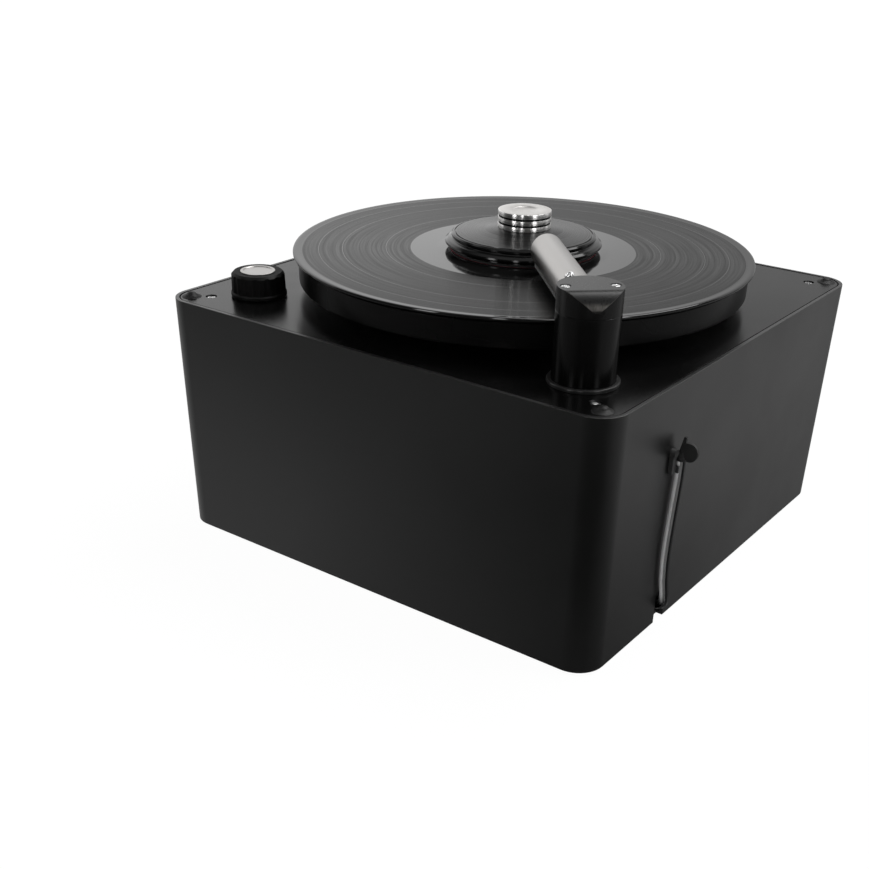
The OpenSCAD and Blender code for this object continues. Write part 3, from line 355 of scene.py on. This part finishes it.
def turned_metal(name, level, rough, aniso, ring_pitch=0.00035, drift=0.012):
    """Metal from the lathe: fine rings that stretch each highlight across them."""
    t = Tree(name)
    r, _, _, z = t.radius()
    along = t.plus(r, z)
    rings = t.noise_1d(along, 1 / ring_pitch, 2)
    wide = t.noise_1d(along, 0.2 / ring_pitch, 2)
    tone = t.mix(wide, warm(level * 0.93, drift), warm(level * 1.04, drift))
    t.shader(color=tone, metal=1.0, rough=t.ramp(rings, rough * 0.75, rough * 1.3, 0.25, 0.75),
             aniso=aniso, turn=0.25, tangent=t.turned_tangent(), normal=t.bump(rings, 0.000004, 0.5))
    return t.material


def satin_aluminium(name, level, rough):
    """Bead blasted and anodised aluminium with a fine even grain."""
    t = Tree(name)
    grain = t.noise(2600, 2, 0.6)
    cloud = t.noise(45, 3, 0.55)
    tone = t.mix(t.ramp(cloud, 0, 1, 0.3, 0.7), warm(level * 0.97, 0.03), warm(level * 1.02, 0.03))
    t.shader(color=tone, metal=1.0, rough=t.ramp(cloud, rough - 0.01, rough + 0.02, 0.3, 0.7),
             normal=t.bump(grain, 0.000006, 0.5))
    return t.material


def plain_steel(name, level, rough):
    t = Tree(name)
    cloud = t.noise(120, 3, 0.6)
    fine = t.noise(1800, 2, 0.5)
    tone = t.mix(cloud, grey(level * 0.82), grey(level * 1.08))
    t.shader(color=tone, metal=1.0, rough=t.ramp(cloud, rough - 0.06, rough + 0.08, 0.3, 0.7),
             normal=t.bump(fine, 0.00001, 0.5))
    return t.material


def record_grooves():
    """Pressed vinyl: grooves too fine to see one by one, with faint arcs of slightly different gloss
    and highlights that stay sharp along the groove and smear across it."""
    t = Tree("record_grooves")
    r, x, y, _ = t.radius()
    ring_place = t.add("ShaderNodeCombineXYZ")
    t.feed(ring_place.inputs[0], t.times(r, 1100.0))
    t.feed(ring_place.inputs[1], t.times(t.math("DIVIDE", x, r), 2.0))
    t.feed(ring_place.inputs[2], t.times(t.math("DIVIDE", y, r), 2.0))
    arcs = t.noise(1.0, 3, 0.6, vector=ring_place.outputs[0])
    bands = t.noise_1d(r, 420, 4)
    mixed = t.plus(t.times(arcs, 0.6), t.times(bands, 0.4))
    tone = t.mix(t.ramp(mixed, 0, 1, 0.35, 0.65), grey(0.004), grey(0.009))
    gloss = t.ramp(mixed, 0.13, 0.20, 0.38, 0.62)
    t.shader(color=tone, rough=gloss, aniso=1.0, turn=0.25, tangent=t.turned_tangent(),
             specular=0.30, dim=t.ramp(mixed, 0.52, 0.30, 0.38, 0.62))
    return t.material


def record_land(name, specular, dim):
    """Smooth vinyl of the dead wax and the separators and, less bright, of the raised edge."""
    t = Tree(name)
    cloud = t.noise(30, 2, 0.5)
    t.shader(color=t.mix(cloud, grey(0.005), grey(0.007)), rough=t.ramp(cloud, 0.05, 0.09),
             specular=specular, dim=dim)
    return t.material


def clamp_finish():
    """Satin black cone with a glossy flared rim, both fresh from the lathe."""
    t = Tree("clamp_finish")
    r, _, _, z = t.radius()
    rings = t.noise_1d(t.plus(r, z), 2200, 2)
    cone = t.smooth(r, 1.0, 0.0, 0.0440, 0.0446)
    gloss = t.plus(t.ramp(rings, 0.10, 0.15, 0.3, 0.7), t.times(cone, 0.16))
    t.shader(color=t.mix(rings, grey(0.0025), grey(0.0045)), rough=gloss, specular=0.26, aniso=0.5,
             turn=0.25, tangent=t.turned_tangent())
    return t.material


def turned_black(name, level, rough):
    """Black anodised bar from the lathe, with fine rings and a few upright handling marks."""
    t = Tree(name)
    _, _, _, z = t.radius()
    rings = t.noise_1d(z, 1800, 3)
    marks = t.noise(300, 3, 0.65, stretch=(1, 1, 0.12))
    rub = t.smooth(marks, 0.0, 1.0, 0.60, 0.78)
    gloss = t.plus(t.ramp(rings, rough - 0.03, rough + 0.04, 0.3, 0.7), t.times(rub, 0.10))
    t.shader(color=t.mix(rub, grey(level), grey(level * 3)), rough=gloss, specular=0.28, aniso=0.35,
             turn=0.25, tangent=t.turned_tangent(), dim=0.35)
    return t.material


def head_finish_with_painted_light():
    """The head: the same black, with a satin facet on its round front, a painted highlight along the
    facet's edges and in a band low on the facet, and painted shade that darkens the head's front. The
    facet is where the surface lies on the front's quarter barrel and not on the post's cylinder."""
    t = Tree("head_finish_with_painted_light")
    _, x, y, z = t.radius(POST_AXIS)
    a = math.radians(ARM_ANGLE)
    front = t.times(t.plus(t.times(x, math.cos(a)), t.times(y, math.sin(a))), -1.0)
    # Place on the barrel: u forward of its axis, w above it, rho from it
    u = t.math("MAXIMUM", t.math("SUBTRACT", front, (POST_R - HEAD_ROUND) * MM), 0.0)
    w = t.math("MAXIMUM", t.math("SUBTRACT", z, (ARM_Z + HEAD_H - HEAD_ROUND) * MM), 0.0)
    rho = t.length(u, w)
    ahead = t.smooth(u, 0.0, 1.0, 0.0012, 0.0024)
    above = t.smooth(w, 0.0, 1.0, 0.0003, 0.0010)
    on_barrel = t.smooth(rho, 0.0, 1.0, (HEAD_ROUND - 0.10) * MM, (HEAD_ROUND - 0.04) * MM)
    facet = t.times(on_barrel, ahead, above)
    # The painted edge highlight gets wider upward, where the two surfaces part more slowly
    painted_edge_width = t.plus(t.times(w, 0.035), 0.00004)
    depth = t.math("SUBTRACT", HEAD_ROUND * MM, rho)
    beside = t.smooth(t.math("DIVIDE", depth, painted_edge_width), 1.0, 0.0, 0.6, 1.2)
    # Painted highlight: a light line along the facet's edges
    edge = t.times(beside, ahead, t.math("SUBTRACT", 1.0, facet), above)
    # Painted highlight: a band low on the facet, broken by upright streaks
    turn = t.math("ARCTAN2", u, w)
    low = t.times(t.smooth(turn, 0.0, 1.0, 0.95, 1.25), t.smooth(turn, 1.0, 0.0, 1.34, 1.46))
    streaks = t.noise(900, 2, 0.6, stretch=(1, 1, 0.1))
    painted_tip_highlight = t.times(facet, low, t.ramp(streaks, 0.5, 1.3, 0.3, 0.7))
    # Base tone: the black, lifted by the painted highlights
    level = t.plus(t.times(painted_tip_highlight, 0.20), t.times(edge, 0.10), 0.0035)
    tone = t.add("ShaderNodeCombineColor")
    for socket, tint in zip(tone.inputs, (1.05, 1.0, 0.93)):
        t.feed(socket, t.times(level, tint))
    rough = t.plus(t.ramp(streaks, 0.20, 0.28, 0.3, 0.7), t.times(facet, 0.06))
    # The dead black share is larger on the head's front: painted shade
    t.shader(color=tone.outputs[0], rough=rough, specular=0.45, dim=t.plus(t.times(ahead, 0.25), 0.22))
    return t.material


def label_paper():
    t = Tree("label_paper")
    fibres = t.noise(900, 4, 0.7)
    # A dark red: the paper's own red, painted darker as painted shade for the clamp's shadow on the
    # label's edge, the only part that shows
    tone = t.mix(fibres, (0.09, 0.004, 0.012, 1), (0.14, 0.008, 0.018, 1))
    t.shader(color=tone, rough=0.6, normal=t.bump(fibres, 0.00001, 0.5))
    return t.material


def velvet():
    t = Tree("velvet")
    pile = t.noise(3500, 3, 0.7)
    t.shader(color=t.mix(pile, grey(0.008), grey(0.03)), rough=0.9, sheen=0.5, sheen_rough=0.4,
             normal=t.bump(pile, 0.0002, 0.9))
    return t.material


def clear_tube():
    """Clear drain tube, dark against the casing, with a painted highlight: a pale stripe along its front
    left side, picked by which way the surface faces, that ends above the tube's lower bend."""
    t = Tree("clear_tube")
    haze = t.noise(200, 2, 0.5)
    glass = t.principled(color=t.mix(haze, (0.010, 0.011, 0.011, 1), (0.020, 0.022, 0.022, 1)),
                         rough=t.ramp(haze, 0.05, 0.12), ior=1.45, transmission=1.0)
    # Painted highlight: a pale matt shader laid on the faces that look front left
    painted_highlight_white = t.diffuse(t.mix(haze, grey(0.78), grey(0.90)))
    facing = t.add("ShaderNodeSeparateXYZ")
    t.link(t.add("ShaderNodeTexCoord").outputs["Normal"], facing.inputs[0])
    left = t.plus(t.times(facing.outputs[0], -0.84), t.times(facing.outputs[1], -0.54))
    _, _, _, z = t.radius()
    painted_highlight_stripe = t.times(t.smooth(left, 0.0, 0.95, 0.0, 0.45), t.smooth(z, 0.0, 1.0, 0.014, 0.024))
    t.surface(t.blend(painted_highlight_stripe, glass, painted_highlight_white))
    return t.material


def board_green():
    t = Tree("board_green")
    weave = t.noise(600, 2, 0.5)
    t.shader(color=t.mix(weave, (0.01, 0.10, 0.04, 1), (0.02, 0.16, 0.07, 1)), rough=0.4)
    return t.material


MATERIALS = {
    "casing_black": coated_metal("casing_black", 0.003, 0.36),
    "deck_black": coated_metal("deck_black", 0.002, 0.22, specular=0.28, dim=0.25),
    "platter_black": coated_metal("platter_black", 0.003, 0.28, specular=0.15, dim=0.1),
    "zinc": plain_steel("zinc", 0.60, 0.35),
    "turned_silver": turned_metal("turned_silver", 0.74, 0.32, 0.95),
    "satin_silver": satin_aluminium("satin_silver", 0.38, 0.29),
    "screw_steel": plain_steel("screw_steel", 0.72, 0.22),
    "pin_brass": plain_steel("pin_brass", 0.55, 0.3),
    "vinyl": record_land("vinyl", 0.60, 0.04),
    "label_paper": label_paper(),
    "clamp_black": clamp_finish(),
    "arm_black": turned_black("arm_black", 0.003, 0.20),
    "knob_black": moulded_plastic("knob_black", 0.004, 0.42, dim=0.72),
    "rubber_black": rubber_like("rubber_black", 0.012),
    "velvet": velvet(),
    "tank_white": moulded_plastic("tank_white", 0.70, 0.40),
    "dark_plastic": moulded_plastic("dark_plastic", 0.030, 0.50),
    "bearing_plastic": moulded_plastic("bearing_plastic", 0.60, 0.45),
    "clear_tube": clear_tube(),
    "board_green": board_green(),
}


def dress_nodes():
    """Gives each CAD node its slot's finish, by the record's list of sub-parts."""
    slots = {s["node"]: s["material_slot"] for s in frame["record"]["subparts"]}
    for name, obj in nodes.items():
        finish = MATERIALS[slots[name]]
        if not obj.data.materials:
            obj.data.materials.append(finish)
        for slot in obj.material_slots:
            slot.material = finish


def soften(name, width):
    """Small bevels on a node's sharp edges; flat faces are joined first so that they shade flat."""
    obj = nodes[name]
    weld = obj.modifiers.new("weld", "WELD")
    weld.merge_threshold = 1e-6
    join = obj.modifiers.new("join", "DECIMATE")
    join.decimate_type = "DISSOLVE"
    join.angle_limit = math.radians(0.3)
    bevel = obj.modifiers.new("bevel", "BEVEL")
    bevel.width = width
    bevel.segments = 3
    bevel.limit_method = "ANGLE"
    bevel.angle_limit = math.radians(30)
    bevel.use_clamp_overlap = True
    normals = obj.modifiers.new("normals", "WEIGHTED_NORMAL")
    normals.keep_sharp = False


# Mesh helpers


def finish_mesh(bm, name, body, material, smooth_angle=35):
    mesh = bpy.data.meshes.new(name)
    bm.normal_update()
    bm.to_mesh(mesh)
    bm.free()
    obj = bpy.data.objects.new(name, mesh)
    bpy.context.collection.objects.link(obj)
    for m in material if isinstance(material, list) else [material]:
        mesh.materials.append(m)
    mesh.polygons.foreach_set("use_smooth", [True] * len(mesh.polygons))
    mesh.set_sharp_from_angle(angle=math.radians(smooth_angle))
    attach(obj, body)
    return obj


def lathe(profile, steps, closed=True, pick=None, into=None):
    """A turned solid: profile points (radius, height) in mm, run round the upright axis. pick gives
    the slot of the face between point i and the next, into is a mesh to add to."""
    bm = into or bmesh.new()
    rings = []
    for r, z in profile:
        if r < 1e-6:
            rings.append([bm.verts.new((0, 0, z * MM))])
            continue
        rings.append([
            bm.verts.new((r * math.cos(2 * math.pi * k / steps) * MM,
                          r * math.sin(2 * math.pi * k / steps) * MM, z * MM))
            for k in range(steps)])
    pairs = list(zip(rings, rings[1:])) + ([(rings[-1], rings[0])] if closed else [])
    for i, (a, b) in enumerate(pairs):
        if len(a) == 1 and len(b) == 1:
            continue
        for k in range(steps):
            n = (k + 1) % steps
            loop = [a[k % len(a)], a[n % len(a)], b[n % len(b)], b[k % len(b)]]
            corners = list(dict.fromkeys(loop))
            face = bm.faces.new(corners)
            if pick:
                face.material_index = pick(i)
    bmesh.ops.recalc_face_normals(bm, faces=bm.faces)
    return bm


def make_record():
    """The record with its raised edge, lead-in, track separators and dead wax."""
    z = RECORD_Z
    top = LABEL_Z
    bead = top + BEAD_RISE
    sunk = top - GROOVES_SUNK
    under = [(PIN_R + 0.1, z), (LABEL_R + 1, z), (LABEL_R + 2, z + 0.2)]
    edge = [(GROOVES_OUT_R, z + 0.2), (GROOVES_OUT_R + 1.2, z), (RECORD_R - 0.8, z),
            (RECORD_R - 0.25, z + 0.2), (RECORD_R, z + 0.7), (RECORD_R, top - 0.6),
            (RECORD_R - 0.2, top - 0.15), (RECORD_R - 0.7, bead - 0.02), (RECORD_R - 1.6, bead),
            (RECORD_R - 2.6, bead - 0.05), (GROOVES_OUT_R + 0.6, sunk + 0.03), (GROOVES_OUT_R, sunk),
            (GROOVES_OUT_R - 0.8, sunk)]
    profile = under + edge
    edge_faces = range(len(under), len(profile) - 1)
    groove_faces = []
    for r in reversed(SEPARATORS_R):
        groove_faces.append(len(profile) - 1)
        profile += [(r + SEPARATOR_HALF, sunk), (r - SEPARATOR_HALF, sunk)]
    groove_faces.append(len(profile) - 1)
    profile += [(DEAD_WAX_R, sunk)]
    # A gentle rise from the dead wax to the label, and the label's shallow seat
    steps, rise_w = 6, 9
    for k in range(steps, -1, -1):
        fall = LABEL_RISE * (1 - math.cos(math.pi * k / steps)) / 2
        profile.append((LABEL_R + 1 + rise_w * k / steps, top - fall))
    profile += [(LABEL_R, top), (LABEL_R, top - LABEL_SEAT), (PIN_R + 0.1, top - LABEL_SEAT)]
    finishes = [MATERIALS["vinyl"], record_grooves(), record_land("record_edge", 0.5, 0.25)]
    bm = lathe(profile, 360, pick=lambda i: 1 if i in groove_faces else 2 if i in edge_faces else 0)
    disc = finish_mesh(bm, "record_disc", "turntable", finishes, 25)
    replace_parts(disc, "record")


def make_clamp_nut():
    """The screw knob: polished bands with crisp chamfers, grooves in a near black steel as painted
    shade, a satin dished top.
    """
    z, r = NECK_Z, NUT_R
    groove_w, groove_depth, chamfer, ease = 1.1, 1.3, 0.35, 0.1
    band = (NUT_H - 2 * groove_w) / 3
    top = z + NUT_H
    dish = [(0, 1.00), (3.0, 0.96), (5.5, 0.80), (7.4, 0.48), (8.4, 0.16), (8.7, 0)]
    profile = [(x, top - depth) for x, depth in dish] + [(r - chamfer, top)]
    dark = []
    for i in (2, 1, 0):
        low = z + i * (band + groove_w)
        profile += [(r - ease, low + band - ease), (r, low + band - chamfer), (r, low + chamfer),
                    (r - ease, low + ease), (r - chamfer, low)]
        # Faces inside the grooves, which take the painted shade
        if i:
            dark += range(len(profile) - 1, len(profile) + 2)
            profile += [(r - groove_depth, low), (r - groove_depth, low - groove_w),
                        (r - chamfer, low - groove_w)]
    profile += [(NECK_R, z), (NECK_R, z - NECK_DEPTH), (0, z - NECK_DEPTH)]
    bm = lathe(profile, 180, closed=False,
               pick=lambda i: 1 if i in dark else 2 if i < len(dish) else 0)
    # The grooves' near black steel is painted shade
    finishes = [MATERIALS["turned_silver"], plain_steel("groove_painted_shade", 0.02, 0.5),
                satin_aluminium("nut_top", 0.61, 0.34)]
    knob = finish_mesh(bm, "screw_knob", "clamp_knob", finishes, 30)
    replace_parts(knob, "clamp_nut")


def arm_place(x, y, z):
    """A point of the arm's own frame (mm along the tube, across it, up) as a matrix in metres."""
    a = math.radians(ARM_ANGLE)
    place = (POST[0] + x * math.cos(a) - y * math.sin(a), POST[1] + x * math.sin(a) + y * math.cos(a), z)
    return Matrix.Translation(Vector(place) * MM) @ Matrix.Rotation(a, 4, "Z")


def screw_mesh(r, height, shank_r, shank, at, into):
    """A small button screw with a shallow socket, its seat at the matrix's origin."""
    start = len(into.verts)
    profile = [(0, -shank), (shank_r, -shank), (shank_r, 0), (r, 0), (r, height * 0.55),
               (r * 0.93, height * 0.80), (r * 0.72, height * 0.95), (r * 0.42, height),
               (r * 0.38, height - 0.35), (0, height - 0.35)]
    lathe(profile, 40, closed=False, into=into)
    into.verts.ensure_lookup_table()
    bmesh.ops.transform(into, matrix=at, verts=into.verts[start:])


def make_screws():
    steel = MATERIALS["screw_steel"]
    bm = bmesh.new()
    seat_z = ARM_Z + HEAD_H - HEAD_SCREW_DEPTH
    for side in (-1, 1):
        screw_mesh(2.75, 1.75, 1.45, 14, arm_place(0, side * HEAD_SCREW_Y, seat_z), bm)
    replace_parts(finish_mesh(bm, "head_screw_pair", "arm", steel, 40), "head_screws")
    bm = bmesh.new()
    lean = Matrix.Rotation(math.radians(TUBE_SCREW_LEAN), 4, "X")
    seat = lean @ Matrix.Translation((0, 0, (TUBE_R + 0.05) * MM))
    screw_mesh(2.7, 2.6, 1.25, 4, arm_place(TUBE_SCREW_ALONG, 0, ARM_Z) @ seat, bm)
    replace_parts(finish_mesh(bm, "tube_side_screw", "arm", steel, 40), "tube_screw")


# Stage: floor, lamps and world


def make_floor():
    """White to the camera with the object's soft shadow. In mirrors it glows with painted shade and
    light: painted shade in front of the near corner, brighter on the left and towards the front, and a
    painted shadow at the foot of the right wall."""
    t = Tree("floor")
    path = t.add("ShaderNodeLightPath")
    speck = t.noise(3, 3, 0.5)
    away, x, y, _ = t.radius()
    share = t.smooth(away, FLOOR_WHITE, 1.0, 0.30, 0.80)
    lit = t.blend(t.times(path.outputs["Is Camera Ray"], share),
                  t.diffuse(t.mix(speck, grey(0.80), grey(0.84))), t.emission(FLOOR_GLOW))
    # Painted shade in front of the near corner and painted shadow at the foot of the right wall, seen
    # only in mirrors
    dark, _, _, _ = t.radius(FLOOR_DARK_CENTRE)
    painted_corner_shade = t.smooth(dark, 0.0, 1.0, FLOOR_DARK_NEAR, FLOOR_DARK_FAR)
    across = t.ramp(x, 1.25, 0.86, -0.35, 0.35)
    forward = t.smooth(y, 0.40, 1.15, -0.46, -0.20)
    painted_foot_shadow = t.smooth(x, FLOOR_FOOT_SHADOW_LEVEL, 1.0, 0.17, 0.34)
    beside = t.smooth(x, 0.0, 1.0, 0.10, 0.17)
    painted_foot_shadow = t.plus(t.times(beside, t.math("SUBTRACT", painted_foot_shadow, 1.0)), 1.0)
    level = t.ramp(t.times(painted_corner_shade, across, forward, painted_foot_shadow), FLOOR_MIRROR_DARK, FLOOR_MIRROR_BRIGHT)
    t.surface(t.blend(path.outputs["Is Glossy Ray"], lit, t.emission(1.0, level)))
    bm = bmesh.new()
    bmesh.ops.create_circle(bm, cap_ends=True, segments=96, radius=6.0)
    mesh = bpy.data.meshes.new("floor")
    bm.to_mesh(mesh)
    bm.free()
    floor = bpy.data.objects.new("floor", mesh)
    mesh.materials.append(t.material)
    bpy.context.collection.objects.link(floor)


def area_lamp(name, place, aim, size, power, glossy=False):
    data = bpy.data.lights.new(name, "AREA")
    data.shape = "RECTANGLE"
    data.size, data.size_y = size
    data.energy = power
    lamp = bpy.data.objects.new(name, data)
    lamp.location = place
    lamp.rotation_euler = (Vector(aim) - Vector(place)).to_track_quat("-Z", "Y").to_euler()
    lamp.visible_glossy = glossy
    bpy.context.collection.objects.link(lamp)


class WorldTree(Tree):
    """The same short calls on the world's node tree."""

    def __init__(self, world):
        world.use_nodes = True
        self.tree = world.node_tree
        self.tree.nodes.clear()
        self.out = self.add("ShaderNodeOutputWorld")


def make_world():
    """White to the camera, even to matt surfaces; in mirrors a bright wall behind the object, dimmer
    sides and narrow upright softboxes at chosen azimuths."""
    world = bpy.data.worlds.new("studio")
    bpy.context.scene.world = world
    t = WorldTree(world)
    path = t.add("ShaderNodeLightPath")
    split = t.add("ShaderNodeSeparateXYZ")
    t.link(t.add("ShaderNodeTexCoord").outputs["Generated"], split.inputs[0])
    x, y, z = split.outputs
    az = math.radians(CAMERA_AZIMUTH)
    ahead = t.plus(t.times(x, math.sin(az)), t.times(y, -math.cos(az)))
    side = t.plus(t.times(x, math.cos(az)), t.times(y, math.sin(az)))
    turn = t.times(t.math("ARCTAN2", side, ahead), 180 / math.pi)
    rise = t.times(t.math("ARCSINE", z), 180 / math.pi)
    total = t.smooth(rise, MIRROR_ROOM, MIRROR_CEILING, 40, 75)
    for centre, half, low, high, level in MIRROR_PANELS:
        off = t.math("SUBTRACT", turn, centre)
        off = t.math("ABSOLUTE", t.math("WRAP", off, 180.0, -180.0))
        inside = t.smooth(off, 1.0, 0.0, half * 0.7, half * 1.3)
        up = t.smooth(rise, 0.0, 1.0, low - 4, low + 4)
        down = t.smooth(rise, 1.0, 0.0, high - 8, high + 8)
        total = t.plus(total, t.times(inside, up, down, level))
    mirrored = t.times(path.outputs["Is Glossy Ray"], t.math("SUBTRACT", total, WORLD_FILL))
    plain = t.math("MAXIMUM", path.outputs["Is Camera Ray"], path.outputs["Is Transmission Ray"])
    strength = t.math("MAXIMUM", t.plus(mirrored, WORLD_FILL), plain)
    back = t.add("ShaderNodeBackground")
    back.inputs["Color"].default_value = grey(1.0)
    t.link(strength, back.inputs["Strength"])
    t.surface(back.outputs[0])


def make_light():
    area_lamp("top_softbox", (0.4, 0.8, 1.6), (0, 0, 0.15), (1.6, 1.0), 26, glossy=True)
    area_lamp("right_softbox", (1.6, 0.5, 0.9), (0.1, 0, 0.1), (0.8, 1.2), 10)
    area_lamp("left_softbox", (-1.5, -0.4, 0.9), (0, 0, 0.1), (0.7, 1.2), 10)
    make_world()


make_camera()
dress_nodes()
for soft_name, soft_width in SOFT_EDGES.items():
    soften(soft_name, soft_width)
for own_name, own_finish in {
    "arm_head": head_finish_with_painted_light(),
    "corner_pads": moulded_plastic("pad_black", 0.004, 0.45, dim=0.5),
    "arm_collar": turned_black("collar_black", 0.03, 0.28),
}.items():
    nodes[own_name].material_slots[0].material = own_finish
make_record()
make_clamp_nut()
make_screws()
make_floor()
make_light()

scene = bpy.context.scene
scene.view_settings.view_transform = "Standard"
